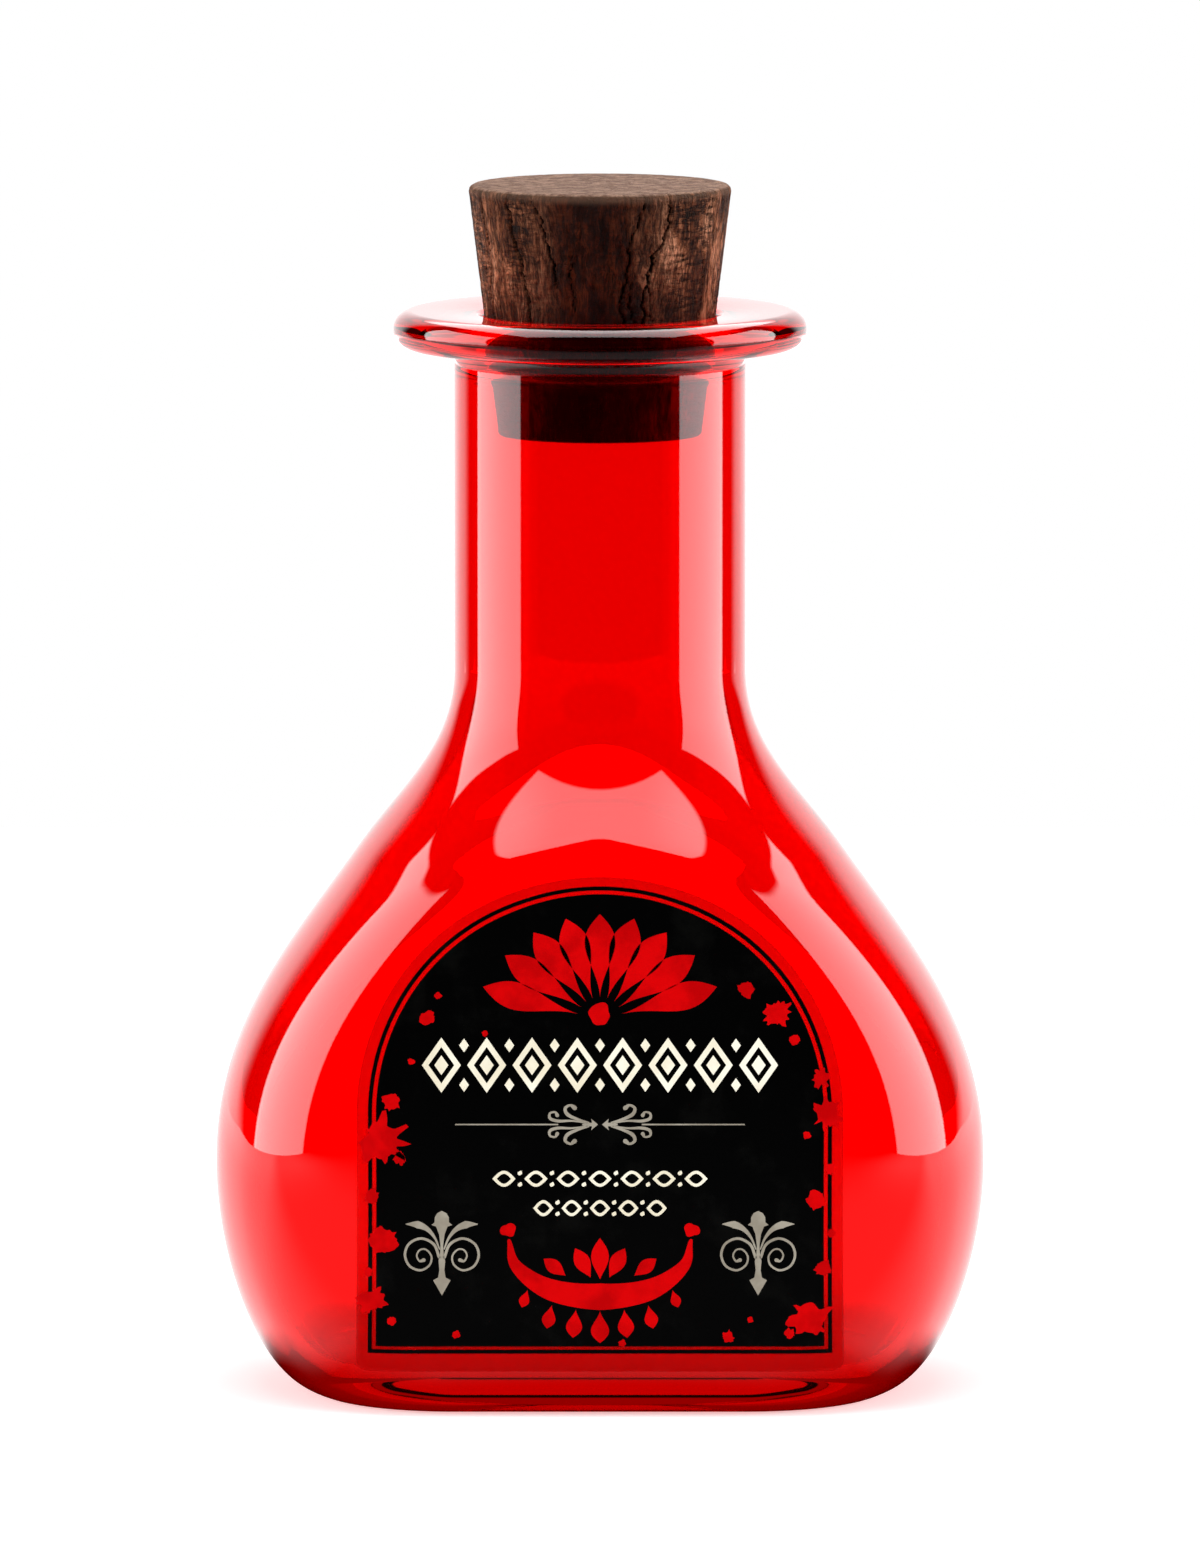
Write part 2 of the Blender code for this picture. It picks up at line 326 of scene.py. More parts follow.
red_glass, glass = new_finish("red_glass")
glass_place = glass.node("ShaderNodeTexCoord").out("Object")
glass_height = glass.node("ShaderNodeSeparateXYZ", {}, {0: glass_place}).out("Z")
depth_of_red = glass_height.rising(0.003, 0.0075).blend((0.58, 0, 0, 1), (0.96, 0, 0, 1))
clear_red = glass.node(
    "ShaderNodeBsdfPrincipled",
    {},
    {"Base Color": depth_of_red, "Roughness": 0.0, "IOR": 1.5, "Transmission Weight": 1.0},
)
glass_ray = glass.node("ShaderNodeLightPath")
dark_glow = glass.node("ShaderNodeBsdfTransparent", {}, {"Color": (0.4, 0, 0, 1)})
glowing = glass.node("ShaderNodeMixShader", {}, {"Fac": thrown_about(glass_ray), 1: clear_red, 2: dark_glow})
lamp_light = glass.node("ShaderNodeBsdfTransparent", {}, {"Color": (0.95, 0.3, 0.3, 1)})
to_lamp = glass_ray.out("Is Shadow Ray")
through = glass.node("ShaderNodeMixShader", {}, {"Fac": to_lamp, 1: glowing, 2: lamp_light})
glass.node("ShaderNodeOutputMaterial", {}, {"Surface": through})

bottle = finished("glass_bottle", glass_body(), red_glass)
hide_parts("bottle")
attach(bottle, "bottle")

# Stopper. A plug turned from one piece of dark, dry wood, tapered to fit the mouth, its grain running upright.
# It has opened into long fissures as it dried, its upper edge is worn and chipped, and it is wedged in by hand.

STOPPER_TOP = 0.0137
STOPPER_END = -0.0134
STOPPER_GAP = 0.0003
STOPPER_EDGES = (0.0004, 0.0007)
WOOD_AROUND = 420
WOOD_UP = 150
GRAIN_DEPTH = 0.00015
END_ROUGHNESS = 0.00006
# The stopper's middle radius in mm, at which its grain and the widths of its fissures are drawn
GRAIN_RADIUS = 13.5
# The chip in the upper edge: degrees round from the front, half width in degrees, height and depth in metres
CHIP = (-3, 3.4, 0.0009, 0.0006)
# How far past its end points a fissure runs, and over what length it closes there, in mm
FISSURE_END = 1.5
FISSURE_CLOSING = 2.5
# Each fissure: (degrees round from the front, height above the mouth in mm) points, half width and depth in mm
FISSURES = (
    (((-46, 13), (-43, 9), (-39, 5), (-37, 1), (-38, -3)), 0.17, 0.55),
    (((-31, 13), (-27, 10), (-23, 7), (-20, 4)), 0.14, 0.4),
    (((-13, 7), (-14, 4), (-12, 1)), 0.11, 0.3),
    (((20, 13), (15, 9), (12, 5), (10, 1), (12, -5)), 0.13, 0.45),
    (((33, 13), (32, 10), (25, 6.5), (22, 3), (21, -4)), 0.17, 0.6),
    (((14, 4), (15, 1), (19, -2)), 0.1, 0.4),
    (((27, 8), (24, 4), (26, 0)), 0.08, 0.3),
    (((58, 13), (56, 8), (59, 3), (57, -2)), 0.06, 0.2),
    (((-66, 13), (-63, 7), (-66, 2), (-64, -5)), 0.08, 0.25),
    (((-88, 12), (-84, 6), (-86, 0)), 0.12, 0.4),
    (((84, 13), (88, 7), (83, 1), (86, -6)), 0.13, 0.45),
    (((106, 13), (110, 6), (107, -1)), 0.09, 0.3),
    (((131, 13), (127, 8), (130, 2), (126, -8)), 0.14, 0.5),
    (((152, 10), (156, 4), (153, -4)), 0.08, 0.3),
    (((176, 13), (172, 7), (175, 1), (171, -5)), 0.13, 0.45),
    (((-158, 13), (-154, 6), (-157, -2)), 0.09, 0.3),
    (((-134, 12), (-138, 5), (-133, -3), (-136, -9)), 0.14, 0.5),
    (((-112, 13), (-109, 7), (-113, 2)), 0.08, 0.3),
    (((2, -3), (-1, -7), (1, -12)), 0.08, 0.25),
    (((-48, -4), (-45, -9), (-47, -12)), 0.08, 0.25),
    (((44, -5), (47, -9), (45, -12)), 0.08, 0.25),
)


def stopper_radius(above_mouth):
    return mouth_radius(above_mouth) - STOPPER_GAP


def fissure_depths(turns, heights):
    """How deep the fissures cut into the side at each place, in metres, and how open they are, 0 to 1, which
    also sets the painted shade in them.
    """
    depth = np.zeros((len(heights), len(turns)))
    opened = np.zeros_like(depth)
    places = np.degrees(turns)
    for points, half_width, deepest in FISSURES:
        up = np.array([height for _, height in points], float)
        across = np.array([degrees for degrees, _ in points], float)
        order = np.argsort(up)
        for row, height in enumerate(heights * 1000):
            if not up.min() - FISSURE_END < height < up.max() + FISSURE_END:
                continue
            wander = noise.noise(Vector((half_width * 90, height * 0.9, deepest * 50))) * 2.2
            wander += noise.noise(Vector((height * 3.1, half_width * 70, 5.0))) * 0.8
            middle = np.interp(height, up[order], across[order]) + wander
            off = (places - middle + 180) % 360 - 180
            off_mm = np.radians(off) * GRAIN_RADIUS
            from_low = (height - up.min() + FISSURE_END) / FISSURE_CLOSING
            from_high = (up.max() + FISSURE_END - height) / FISSURE_CLOSING
            ends = min(from_low, from_high, 1)
            uneven = 0.75 + 0.5 * noise.noise(Vector((height * 1.3, half_width * 40, 9.0)))
            width = half_width * uneven * max(ends, 0.15)
            cut = np.exp(-((off_mm / width) ** 2))
            depth[row] = np.maximum(depth[row], cut * deepest * 0.001 * ends)
            opened[row] = np.maximum(opened[row], cut * ends)
    return depth, opened


def stopper_body():
    turns = np.linspace(-math.pi, math.pi, WOOD_AROUND, endpoint=False)
    heights = np.linspace(STOPPER_END + STOPPER_EDGES[0], STOPPER_TOP - STOPPER_EDGES[1], WOOD_UP)
    depth, opened = fissure_depths(turns, heights)
    chip_turn, chip_width, chip_height, chip_depth = CHIP
    builder = bmesh.new()
    dark = builder.verts.layers.float.new("fissure")
    rings = []
    for row, above in enumerate(heights):
        ring = []
        for column, turn in enumerate(turns):
            around = Vector((math.sin(turn), -math.cos(turn), 0))
            spot = around * GRAIN_RADIUS + Vector((0, 0, above * 1000))
            sway = noise.noise(Vector((spot.x * 0.25, spot.y * 0.25, spot.z * 0.35))) * 0.6
            upright = Vector((spot.x * 1.3 + sway, spot.y * 1.3, spot.z * 0.2))
            grain = noise.fractal(upright, 0.7, 2.0, 4) * GRAIN_DEPTH
            radius = stopper_radius(above) - depth[row, column] - abs(grain)
            from_chip = ((math.degrees(turn) - chip_turn) / chip_width) ** 2
            chip = math.exp(-from_chip - ((above - STOPPER_TOP) / chip_height) ** 2)
            radius -= chip_depth * chip
            vert = builder.verts.new((around.x * radius, around.y * radius, GLASS_HEIGHT + above))
            vert[dark] = opened[row, column]
            ring.append(vert)
        rings.append(ring)
    rings = round_off(builder, rings, dark, turns)
    skin(builder, rings)
    return builder


def round_off(builder, rings, dark, turns):
    """Rounds the stopper's worn upper edge and the cut lower one, and carries both ends in to the middle."""
    ends = []
    for ring, out_of, bevel in ((rings[0], -1, STOPPER_EDGES[0]), (rings[-1], 1, STOPPER_EDGES[1])):
        flat = []
        for inward in (0.1, 0.3, 0.6, 1.0, 3.0, 8.0, 14.0, 18.0):
            level = []
            for turn, vert in zip(turns, ring):
                across = Vector((vert.co.x, vert.co.y, 0)).length
                share = max(1 - inward * bevel / across, 0.08)
                spot = Vector((vert.co.x * share, vert.co.y * share, vert.co.z))
                rough = noise.noise(Vector((spot.x * 900, spot.y * 260, 3.0))) * END_ROUGHNESS
                rounded = bevel * math.sqrt(1 - (1 - min(inward, 1)) ** 2)
                spot.z += out_of * (rounded - abs(rough) * min(inward / 3, 1))
                point = builder.verts.new(spot)
                point[dark] = vert[dark] * max(0, 1 - inward / 3)
                level.append(point)
            flat.append(level)
        ends.append(flat)
    return ends[0][::-1] + rings + ends[1]


# The wood's tones from its darkest patches to its palest ones
WOOD_TONES = (
    (0.0, (0.007, 0.002, 0.001)),
    (0.32, (0.05, 0.0155, 0.0072)),
    (0.6, (0.15, 0.056, 0.029)),
    (1.0, (0.29, 0.142, 0.086)),
)

dry_wood, wood = new_finish("dry_dark_wood")
wood_place = wood.node("ShaderNodeTexCoord").out("Object")


def wood_noise(place, scale, detail, roughness=0.5):
    return wood.node(
        "ShaderNodeTexNoise",
        {},
        {"Vector": place, "Scale": scale, "Detail": detail, "Roughness": roughness},
    )


# Places drawn out along the grain, in patches, and across the grain, where the checks run
swayed = wood.node(
    "ShaderNodeVectorMath",
    {"operation": "MULTIPLY_ADD"},
    {0: wood_noise(wood_place, 260.0, 2.0).out("Color"), 1: (0.0014, 0.0014, 0.0006), 2: wood_place},
)
along_grain = wood.node("ShaderNodeMapping", {}, {"Vector": swayed, "Scale": (1000, 1000, 150)})
in_patches = wood.node("ShaderNodeMapping", {}, {"Vector": wood_place, "Scale": (1000, 1000, 480)})
across_grain = wood.node("ShaderNodeMapping", {}, {"Vector": swayed, "Scale": (420, 420, 2300)})
patches = wood_noise(in_patches, 0.19, 4.0, 0.6)
streaks = wood_noise(along_grain, 0.7, 5.0, 0.65)
fibres = wood_noise(along_grain, 2.9, 5.0, 0.75)
hairlines = 1 - abs(streaks - 0.5).rising(0.0, 0.035)
checks = wood_noise(across_grain, 1.1, 4.0, 0.65)
checked = wood_noise(in_patches, 0.12, 1.0)
from_axis = wood.node("ShaderNodeSeparateXYZ", {}, {0: wood_place})
wood_height = from_axis.out("Z")
sides_checked = abs(from_axis).rising(0.006, 0.0095)
check_lines = checks.rising(0.48, 0.58) * checked.rising(0.38, 0.54) * (0.25 + 0.75 * sides_checked)
fissure = wood.node("ShaderNodeAttribute", {"attribute_name": "fissure"}).out("Fac")
facing = wood.node("ShaderNodeNewGeometry").out("Normal")
cut_face = abs(wood.node("ShaderNodeSeparateXYZ", {}, {0: facing}).out("Z")).rising(0.6, 0.95)

tone = patches.rising(0.36, 0.66) * 0.6 + streaks.rising(0.34, 0.68) * 0.28 + fibres.rising(0.35, 0.65) * 0.12
warm = wood.node("ShaderNodeValToRGB", {"stops": WOOD_TONES}, {"Fac": tone})
fibre_shade = fibres.rising(0.44, 0.57).blend((0.2, 0.15, 0.13, 1), (1.4, 1.32, 1.28, 1))
fibred = wood.mix("MULTIPLY", 0.7, warm, fibre_shade)
# Painted shade and light, partly the wood's own tone: the wood is darker down the middle of its front and back
# and much paler towards its sides, where the side lamps light it
toward_the_sides = abs(from_axis + (patches - 0.5) * 0.006).rising(0.003, 0.0112)
front_shade_side_light = toward_the_sides.blend((0.27, 0.12, 0.06, 1), (2.75, 2.9, 2.85, 1))
with_painted_side_light = wood.mix("MULTIPLY", 1.0, fibred, front_shade_side_light)
# Painted shade: below the mouth, inside the red neck, the wood is painted near black, as dark as it looks in
# there
out_of_mouth = 0.2 + 0.8 * wood_height.rising(GLASS_HEIGHT - 0.005, GLASS_HEIGHT + 0.005)
shaded = out_of_mouth.blend((0.002, 0.0005, 0.0003, 1), with_painted_side_light)
# Painted shade: the checks and hairline cracks are painted near black, for the shade in them
crack_shade_painted = (check_lines * 0.75 + hairlines * 0.4).blend(shaded, (0.004, 0.0015, 0.001, 1))
worn = wood_height.rising(GLASS_HEIGHT + 0.0124, GLASS_HEIGHT + 0.0133) * 0.4
rubbed = worn.blend(crack_shade_painted, (0.26, 0.14, 0.09, 1))
end_tone = streaks.rising(0.42, 0.58) * 0.6 + fibres.rising(0.4, 0.6) * 0.4
end_grain = end_tone.blend((0.19, 0.085, 0.05, 1), (0.6, 0.36, 0.25, 1))
sawn = (cut_face * 0.9).blend(rubbed, end_grain)
# Painted shade: the open fissures are painted near black, for the shade that lies in them
opened = (fissure.rising(0.1, 0.7) * 0.95).blend(sawn, (0.002, 0.0008, 0.0006, 1))
relief = fibres * 0.8 + streaks * 0.9 - hairlines * 0.35 - check_lines * 0.8 - fissure * 0.5
raised = wood.node("ShaderNodeBump", {}, {"Strength": 1.0, "Distance": 0.001, "Height": relief})
grain = wood.node(
    "ShaderNodeBsdfPrincipled",
    {},
    {"Base Color": opened, "Roughness": 0.5 + fibres * 0.25, "Specular IOR Level": 0.1, "Normal": raised},
)
wood.node("ShaderNodeOutputMaterial", {}, {"Surface": grain})

stopper = finished("wood_stopper", stopper_body(), dry_wood)
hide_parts("stopper")
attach(stopper, "stopper")

# Label film. An arched sheet of thin, clear, dark red film, stuck by hand on the front panel. Its margin shows
# round the print, and the red of the glass glows through it.

LABEL_HALF_WIDTH = 0.02615
LABEL_BOTTOM = 0.0051
LABEL_SPRING = 0.03275
LABEL_CORNER = 0.0012
FILM_BACK = 0.0003
FILM_FRONT = 0.00044
# The label's sheets are cut into cells of this size, so that they bend with the panel
CELL = 0.0009
# Where a sheet turns by more than this, its edge stays sharp
SHEET_EDGE = math.radians(50)

glass_front = body_rings(NECK_RADIUS, 0, 0, PANEL_HEEL)[::-1]
front_heights = np.array([ring[2] for ring in glass_front])
front_radii = np.array([ring[0] for ring in glass_front])
front_depths = np.array([ring[1] for ring in glass_front])


def glass_front_depth(x, z):
    """How far the front of the glass stands out from the axis at places seen from the front."""
    radius = np.interp(z, front_heights, front_radii)
    half_depth = np.interp(z, front_heights, front_depths)
    centre_x, centre_y, corner, side_x = corner_of(radius, half_depth)
    past = np.abs(x) - centre_x
    on_corner = np.sqrt(np.maximum(corner**2 - past**2, 0))
    on_side = np.sqrt(np.maximum((radius - side_x) ** 2 - (np.abs(x) - side_x) ** 2, 0))
    depth = np.where(past <= 0, half_depth, centre_y + on_corner)
    depth = np.where((past > 0) & (past * centre_y > (centre_x - side_x) * on_corner), on_side, depth)
    return np.where(radius <= half_depth, np.sqrt(np.maximum(radius**2 - x**2, 0)), depth)


def on_the_label(x, z, lift):
    """Places that stand that far off the glass, square to it."""
    x, z = np.asarray(x, float), np.asarray(z, float)
    step = 0.0002
    slope_x = (glass_front_depth(x + step, z) - glass_front_depth(x - step, z)) / (2 * step)
    slope_z = (glass_front_depth(x, z + step) - glass_front_depth(x, z - step)) / (2 * step)
    length = np.sqrt(1 + slope_x**2 + slope_z**2)
    depth = glass_front_depth(x, z)
    lifted = (x - lift * slope_x / length, -depth - lift / length, z - lift * slope_z / length)
    return np.stack(lifted, axis=-1)


def arch(half_width, bottom, spring, corner=0.0, steps=96):
    """The outline of an arched sheet, from its lower right corner up, over and down again."""
    if corner:
        middle = (half_width - corner, bottom + corner)
        lower_right = round_arc(middle, corner, -math.pi / 2, 0, 6)
    else:
        lower_right = [(half_width, bottom)]
    over = round_arc((0, spring), half_width, 0, math.pi, steps)
    return lower_right + over + [(-x, z) for x, z in lower_right[::-1]]


def printed(shapes, back, front):
    """Thin closed sheets between two heights off the glass, one for each flat (outline, holes) shape."""
    flat = bmesh.new()
    for outline, holes in shapes:
        edges = []
        for loop in (outline, *holes):
            verts = [flat.verts.new((x, 0, z)) for x, z in loop]
            edges += [flat.edges.new((verts[i - 1], verts[i])) for i in range(len(verts))]
        bmesh.ops.triangle_fill(flat, edges=edges, use_beauty=True, use_dissolve=False, normal=(0, -1, 0))
    if not flat.faces:
        raise ValueError("a printed shape came out empty")
    low_x, high_x = min(v.co.x for v in flat.verts), max(v.co.x for v in flat.verts)
    low_z, high_z = min(v.co.z for v in flat.verts), max(v.co.z for v in flat.verts)
    for axis, low, high in (((1, 0, 0), low_x, high_x), ((0, 0, 1), low_z, high_z)):
        for k in range(math.ceil(low / CELL), math.floor(high / CELL) + 1):
            everything = flat.verts[:] + flat.edges[:] + flat.faces[:]
            cut = Vector(axis) * k * CELL
            bmesh.ops.bisect_plane(flat, geom=everything, dist=1e-9, plane_co=cut, plane_no=axis)
    flat.verts.index_update()
    x = np.array([v.co.x for v in flat.verts])
    z = np.array([v.co.z for v in flat.verts])
    builder = bmesh.new()
    behind = [builder.verts.new(p) for p in on_the_label(x, z, back)]
    before = [builder.verts.new(p) for p in on_the_label(x, z, front)]
    for face in flat.faces:
        corners = [v.index for v in face.verts]
        builder.faces.new([before[i] for i in corners])
        builder.faces.new([behind[i] for i in reversed(corners)])
    for edge in flat.edges:
        if len(edge.link_faces) == 1:
            a, b = edge.verts[0].index, edge.verts[1].index
            builder.faces.new((before[a], before[b], behind[b], behind[a]))
    flat.free()
    bmesh.ops.recalc_face_normals(builder, faces=builder.faces)
    return builder


clear_film, film = new_finish("dark_red_film")
tinted = film.node(
    "ShaderNodeBsdfPrincipled",
    {},
    {"Base Color": (0.42, 0.0, 0.0, 1), "Roughness": 0.2, "Alpha": 0.42, "Specular IOR Level": 0.05},
)
film.node("ShaderNodeOutputMaterial", {}, {"Surface": tinted})

label_outline = arch(LABEL_HALF_WIDTH, LABEL_BOTTOM, LABEL_SPRING, LABEL_CORNER)
label_film = finished("label_film", printed([(label_outline, ())], FILM_BACK, FILM_FRONT), clear_film)
label_film.data.set_sharp_from_angle(angle=SHEET_EDGE)
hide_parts("front_label")
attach(label_film, "bottle")

# Black print. A field of dense black ink on the film, with a thin black line round it: the plain double border
# of an old chemist's label. Screen printed, so it lies a little proud of the film.

INK_FRONT = 0.00046
FIELD_HALF_WIDTH = 0.02408
FIELD_BOTTOM = 0.00787
FIELD_SPRING = 0.03297
LINE_HALF_WIDTH = 0.02492
LINE_BOTTOM = 0.0071
LINE_WIDTH = 0.00043

black_ink, ink = new_finish("black_ink")
ink_place = ink.node("ShaderNodeTexCoord").out("Object")
cloudy = ink.node(
    "ShaderNodeTexNoise",
    {},
    {"Vector": ink_place, "Scale": 170.0, "Detail": 4.0, "Roughness": 0.6},
)
dense = cloudy.rising(0.5, 0.75).blend((0.0008, 0.0008, 0.0008, 1), (0.0026, 0.0026, 0.0024, 1))
dense_ink = ink.node(
    "ShaderNodeBsdfPrincipled",
    {},
    {"Base Color": dense, "Roughness": 0.12 + cloudy * 0.06, "Specular IOR Level": 0.05},
)
ink.node("ShaderNodeOutputMaterial", {}, {"Surface": dense_ink})

field = arch(FIELD_HALF_WIDTH, FIELD_BOTTOM, FIELD_SPRING)
line_outside = arch(LINE_HALF_WIDTH, LINE_BOTTOM, FIELD_SPRING)
line_inside = arch(LINE_HALF_WIDTH - LINE_WIDTH, LINE_BOTTOM + LINE_WIDTH, FIELD_SPRING)
black_print = finished(
    "label_black_print",
    printed([(field, ()), (line_outside, (line_inside,))], FILM_FRONT, INK_FRONT),
    black_ink,
)
black_print.data.set_sharp_from_angle(angle=SHEET_EDGE)
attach(black_print, "bottle")

# Red print. One red ink over the black: a fan of petals in the arch, a swag with drops at the foot, and small
# blots and splashes along both edges, some of them over the border. Screen printed on top of the black.

OVER_INK = 0.00048


def pen_stroke(points, widths, steps=10):
    """The outline of a stroke through points, in mm, that swells and thins with the widths."""
    points = np.array(points, float)
    padded = np.vstack([2 * points[0] - points[1], points, 2 * points[-1] - points[-2]])
    share = np.linspace(0, 1, steps, endpoint=False)[:, None]
    middle = []
    for a, b, c, d in zip(padded, padded[1:], padded[2:], padded[3:]):
        squared = (2 * a - 5 * b + 4 * c - d) * share**2
        cubed = (3 * b - a - 3 * c + d) * share**3
        middle.append((2 * b + (c - a) * share + squared + cubed) / 2)
    middle = np.vstack(middle + [points[-1:]])
    half = np.interp(np.arange(len(middle)) / steps, np.arange(len(points)), widths)[:, None] / 2
    along = np.gradient(middle, axis=0)
    along /= np.linalg.norm(along, axis=1)[:, None]
    across = np.stack([-along[:, 1], along[:, 0]], axis=1)
    bends = np.radians((45, 90, 135))[:, None]
    end_cap = middle[-1] + half[-1] * (across[-1] * np.cos(bends) + along[-1] * np.sin(bends))
    start_cap = middle[0] - half[0] * (across[0] * np.cos(bends) + along[0] * np.sin(bends))
    return np.vstack([middle + across * half, end_cap, (middle - across * half)[::-1], start_cap])


def leaf_shape(length, width, fullest=0.5, steps=22):
    """A pointed leaf that grows upwards from (0, 0), widest at that share of its length."""
    share = np.linspace(0, 1, steps + 1)
    half = width / 2 * np.sin(math.pi * share ** (math.log(0.5) / math.log(fullest)))
    right = np.stack([half, share * length], axis=1)
    return np.vstack([right, (right * (-1, 1))[-2:0:-1]])


def blot_shape(radius, kind, ragged=0.2, steps=54):
    """A drop of ink that has run out unevenly. Each kind has another shape."""
    outline = []
    for turn in np.linspace(0, 2 * math.pi, steps, endpoint=False):
        x, z = math.cos(turn), math.sin(turn)
        wave = noise.noise(Vector((x * 1.2, z * 1.2, kind * 3.7))) * 0.35
        splash = max(noise.noise(Vector((x * 3.1, z * 3.1, kind * 5.3))), 0) * ragged * 3
        reach = radius * (1 + wave + splash)
        outline.append((x * reach, z * reach))
    return np.array(outline)


def laid(outline, x=0.0, z=0.0, degrees=0.0, side=1):
    """An outline in mm turned, mirrored for the left side and moved to its place, in metres."""
    turn = math.radians(degrees)
    outline = np.asarray(outline, float)
    turned_x = outline[:, 0] * math.cos(turn) + outline[:, 1] * math.sin(turn)
    turned_z = outline[:, 1] * math.cos(turn) - outline[:, 0] * math.sin(turn)
    return list(zip((x + turned_x) * side / 1000, (z + turned_z) / 1000))


def ink_finish(name, first, second, scale):
    """An ink that runs unevenly between two tones, like one pulled through a screen by hand."""
    material, wires = new_finish(name)
    spot = wires.node("ShaderNodeTexCoord").out("Object")
    uneven = wires.node(
        "ShaderNodeTexNoise",
        {},
        {"Vector": spot, "Scale": scale, "Detail": 3.0, "Roughness": 0.6},
    )
    tones = uneven.rising(0.35, 0.65).blend(first, second)
    pulled = wires.node(
        "ShaderNodeBsdfPrincipled",
        {},
        {"Base Color": tones, "Roughness": 0.3, "Specular IOR Level": 0.02},
    )
    wires.node("ShaderNodeOutputMaterial", {}, {"Surface": pulled})
    return material


# Each blot: (x, z and radius in mm, kind, how ragged)
BLOTS = (
    (-18.6, 43.6, 0.75, 1, 0.1), (-20.3, 38.9, 0.35, 2, 0.1), (-22.5, 34.6, 0.85, 3, 0.3),
    (-23.6, 30.3, 1.75, 4, 0.55), (-21.6, 28.4, 0.6, 5, 0.2), (-24.6, 24.2, 0.7, 6, 0.3),
    (-23.4, 19.4, 1.35, 7, 0.3), (-24.7, 12.9, 1.1, 8, 0.45), (-22.4, 10.6, 0.45, 9, 0.1),
    (-15.5, 9.2, 0.4, 10, 0.2), (-12.4, 41.9, 0.3, 11, 0.1), (15.7, 46.8, 0.8, 12, 0.2),
    (19.0, 44.0, 1.15, 13, 0.4), (20.9, 41.2, 0.5, 14, 0.1), (23.8, 37.0, 0.8, 15, 0.4),
    (24.4, 33.2, 1.2, 16, 0.5), (22.3, 30.9, 0.4, 17, 0.1), (24.7, 27.2, 0.5, 18, 0.3),
    (23.2, 23.9, 0.9, 19, 0.2), (24.0, 16.4, 0.75, 20, 0.25), (22.6, 10.9, 1.6, 21, 0.5),
    (20.4, 9.3, 0.5, 22, 0.2), (13.8, 8.9, 0.55, 23, 0.4), (16.2, 10.8, 0.3, 24, 0.1),
    (-17.4, 46.0, 0.35, 25, 0.1), (24.9, 20.2, 0.4, 26, 0.2), (-24.9, 16.0, 0.4, 27, 0.3),
    (2.4, 8.2, 0.35, 28, 0.2),
)  # fmt: skip
red_shapes = [laid(blot_shape(radius, kind, ragged), x, z) for x, z, radius, kind, ragged in BLOTS]

# The fan: nine petals round a dot, the outer ones longer and narrower
FAN_MIDDLE = 43.4
FAN_RADIUS = 2.5
PETAL_TURN = 18.5
for step in range(-4, 5):
    turn = math.radians(PETAL_TURN * step)
    start = (FAN_RADIUS * math.sin(turn), FAN_MIDDLE + FAN_RADIUS * math.cos(turn))
    petal = leaf_shape(9.0 + 0.1 * step * step, 3.3 - 0.08 * abs(step), 0.66)
    red_shapes.append(laid(petal, *start, degrees=PETAL_TURN * step))
red_shapes.append(laid(blot_shape(1.15, 0, 0), 0, 44.0))

# The swag: a bow of ink with seven drops under it, and five leaves and two knobs over it
bow = ((-9.8, 19.4), (-9.0, 16.6), (-5.4, 14.1), (0, 13.3), (5.4, 14.1), (9.0, 16.6), (9.8, 19.4))
red_shapes.append(laid(pen_stroke(bow, (0.4, 1.3, 2.3, 2.9, 2.3, 1.3, 0.4))))
for step, length in ((-3, 2.0), (-2, 2.6), (-1, 3.1), (0, 3.5), (1, 3.1), (2, 2.6), (3, 2.0)):
    top = 11.75 + 0.16 * step * step + (0.85 if abs(step) == 3 else 0)
    red_shapes.append(laid(leaf_shape(length, length * 0.56, 0.62), 2.6 * step, top, 180 - 6 * step))
for side in (-1, 1):
    red_shapes.append(laid(leaf_shape(3.6, 1.7, 0.55), 1.0, 15.4, 28, side))
    red_shapes.append(laid(leaf_shape(3.0, 1.5, 0.55), 3.7, 15.6, 52, side))
    red_shapes.append(laid(blot_shape(0.8, 2, 0), 9.9, 20.6, 0, side))
red_shapes.append(laid(leaf_shape(4.5, 1.9, 0.55), 0, 15.2))

red_ink = ink_finish("red_ink", (0.46, 0.0, 0.001, 1), (0.64, 0.0005, 0.0015, 1), 260.0)
red_sheets = printed([(outline, ()) for outline in red_shapes], INK_FRONT, OVER_INK)
red_print = finished("label_red_print", red_sheets, red_ink)
red_print.data.set_sharp_from_angle(angle=SHEET_EDGE)
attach(red_print, "bottle")

# Grey print. The printer's stock ornaments of an old chemist's label in a warm grey ink: a thin rule broken by
# a pair of scrolled flourishes, and a palmette with two volutes in each lower corner. All in mm, for one side.

RULE_HEIGHT = 32.05
PALMETTE_MIDDLE = 17.05
RULE = ((4.5, -0.08), (15.6, -0.07), (15.6, 0.07), (4.5, 0.08))
ARROW = ((0.22, 0), (0.95, 0.62), (0.85, 0.2), (1.9, 0.1), (1.9, -0.1), (0.85, -0.2), (0.95, -0.62))
LONG_SCROLL = ((1.2, 0.22), (2.5, 0.6), (3.5, 1.1), (3.75, 1.75), (3.2, 2.1), (2.72, 1.8))
LOW_SCROLL = ((1.5, 0.16), (3.0, 0.4), (4.5, 0.38), (5.35, 0.65), (5.4, 1.2), (4.85, 1.35), (4.6, 1.0))
BUD = (
    (0.14, 18.9), (0.3, 20.1), (0.62, 20.95), (1.12, 21.12),
    (0.78, 21.4), (0.76, 21.95), (0.5, 22.4), (0.0, 22.65),
)  # fmt: skip
